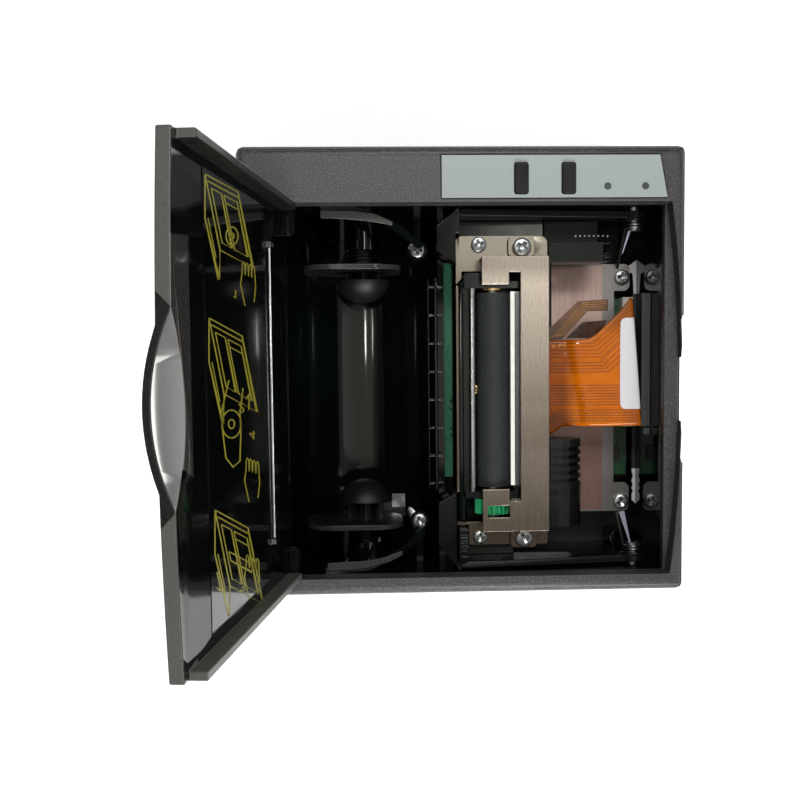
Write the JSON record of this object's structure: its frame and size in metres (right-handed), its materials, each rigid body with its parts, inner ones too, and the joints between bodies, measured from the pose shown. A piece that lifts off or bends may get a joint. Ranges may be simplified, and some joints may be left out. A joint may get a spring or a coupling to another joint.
{
  "type": "panel-mount receipt printer",
  "caption": "Square panel-mount thermal receipt printer with an arched flip lid, a roll compartment with sprung hubs, a swing-up print mechanism and a key strip.",
  "frame": {"origin": "middle of the rear cover's outside face, on which the printer lies", "axes": "+Z out of the front bezel, +Y towards the key strip, +X towards the side where the lid opens"},
  "size_m": [0.137, 0.13, 0.1726],
  "materials": {
    "board_green": "solder mask",
    "body_plastic": "fine textured",
    "brass_bush": "machined",
    "bright_metal": "polished",
    "cast_alloy": "machined",
    "chip_mix": "moulded",
    "connector_plastic": "moulded",
    "cover_plastic": "fine textured",
    "dark_steel": "blackened",
    "flex_film": "amber film",
    "frame_plastic": "satin",
    "gear_green": "moulded",
    "gear_white": "moulded",
    "head_ceramic": "glazed",
    "hub_plastic": "satin",
    "inner_plastic": "gloss",
    "jack_plastic": "moulded",
    "key_plastic": "satin",
    "label_film": "gloss film with yellow line drawings",
    "label_paper": "blank white",
    "lamp_lens": "smoked",
    "lid_plastic": "gloss inside",
    "motor_black": "satin",
    "pink_film": "satin film",
    "plate_steel": "warm brushed",
    "platen_rubber": "ground",
    "port_metal": "nickel plated",
    "screw_steel": "zinc plated",
    "sensor_plastic": "satin",
    "shield_metal": "satin",
    "spring_steel": "bright",
    "strip_film": "satin",
    "switch_plastic": "satin",
    "wire_steel": "polished"
  },
  "bodies": {
    "housing": {"front_bezel": "body_plastic", "housing_shell": "inner_plastic", "rear_cover": "cover_plastic", "key_strip": "strip_film", "status_lamps": "lamp_lens", "key_board": "board_green", "key_switches": "switch_plastic", "paper_trough": "inner_plastic", "paper_comb": "frame_plastic", "end_cheeks": "inner_plastic", "trough_screws": "screw_steel", "low_paper_sensor": "sensor_plastic", "sensor_lever": "bright_metal", "upper_hub_spring": "spring_steel", "lower_hub_spring": "spring_steel", "shield_plate": "shield_metal", "shield_film": "pink_film", "shield_screws": "screw_steel", "insulation_strip": "label_paper", "main_board": "board_green", "board_components": "chip_mix", "flex_connector": "connector_plastic", "board_flex": "flex_film", "flex_label": "label_paper", "serial_port": "port_metal", "power_jack": "jack_plastic", "cover_screws": "screw_steel", "lid_hinge_pins": "screw_steel", "swing_pivot_pins": "screw_steel", "swing_springs": "spring_steel"},
    "lid": {"lid_shell": "lid_plastic", "instruction_label": "label_film", "guide_wire": "wire_steel"},
    "cradle": {"swing_frame": "frame_plastic", "mechanism_base": "plate_steel", "platen_bracket": "plate_steel", "mechanism_sides": "frame_plastic", "platen_bushes": "brass_bush", "print_head": "cast_alloy", "head_board": "head_ceramic", "head_springs": "spring_steel", "tear_bar": "dark_steel", "paper_guide": "frame_plastic", "guide_bar": "bright_metal", "stepper_motor": "motor_black", "gear_cap": "motor_black", "idler_pin": "screw_steel", "mechanism_screws": "screw_steel", "head_flex": "flex_film", "sensor_flex": "flex_film"},
    "lever": {"release_lever": "frame_plastic"},
    "platen": {"platen_shaft": "screw_steel", "platen_rubber": "platen_rubber", "platen_gear": "gear_green"},
    "idler": {"idler_gear": "gear_white"},
    "pinion": {"motor_pinion": "brass_bush"},
    "feed_button": {"feed_key": "key_plastic"},
    "print_button": {"print_key": "key_plastic"},
    "top_hub": {"upper_hub": "hub_plastic"},
    "bottom_hub": {"lower_hub": "hub_plastic"}
  },
  "joints": [
    {"name": "lid_hinge", "type": "hinge", "parent": "housing", "child": "lid", "pos_m": [-0.0508, -0.0056, 0.0595], "axis": [0, -1, 0], "range_deg": [-97.6, 0]},
    {"name": "cradle_hinge", "type": "hinge", "parent": "housing", "child": "cradle", "pos_m": [0.0542, -0.0056, 0.045], "axis": [0, 1, 0], "range_deg": [0, 60]},
    {"name": "release_slide", "type": "slide", "parent": "cradle", "child": "lever", "axis": [0, 0, -1], "range_m": [0, 0.003], "stiffness_N_per_m": 250, "springref_m": -0.001},
    {"name": "platen_spin", "type": "hinge", "parent": "cradle", "child": "platen", "pos_m": [0.0098, -0.0056, 0.0505], "axis": [0, 1, 0], "continuous": true},
    {"name": "idler_spin", "type": "hinge", "parent": "cradle", "child": "idler", "pos_m": [0.02049, -0.0407, 0.04789], "axis": [0, 1, 0], "continuous": true},
    {"name": "pinion_spin", "type": "hinge", "parent": "cradle", "child": "pinion", "pos_m": [0.02923, -0.0407, 0.04254], "axis": [0, 1, 0], "continuous": true},
    {"name": "feed_key_press", "type": "slide", "parent": "housing", "child": "feed_button", "axis": [0, 0, 1], "range_m": [-0.0006, 0], "stiffness_N_per_m": 300, "springref_m": 0.0004},
    {"name": "print_key_press", "type": "slide", "parent": "housing", "child": "print_button", "axis": [0, 0, 1], "range_m": [-0.0006, 0], "stiffness_N_per_m": 300, "springref_m": 0.0004},
    {"name": "upper_hub_slide", "type": "slide", "parent": "housing", "child": "top_hub", "axis": [0, 1, 0], "range_m": [0, 0.004], "stiffness_N_per_m": 300, "springref_m": -0.003, "deforming": ["upper_hub_spring"]},
    {"name": "lower_hub_slide", "type": "slide", "parent": "housing", "child": "bottom_hub", "axis": [0, -1, 0], "range_m": [0, 0.004], "stiffness_N_per_m": 300, "springref_m": -0.003, "deforming": ["lower_hub_spring"]}
  ],
  "couplings": [
    {"joint": "idler_spin", "follows": "platen_spin", "ratio": -0.83333},
    {"joint": "pinion_spin", "follows": "platen_spin", "ratio": 1.1765}
  ]
}
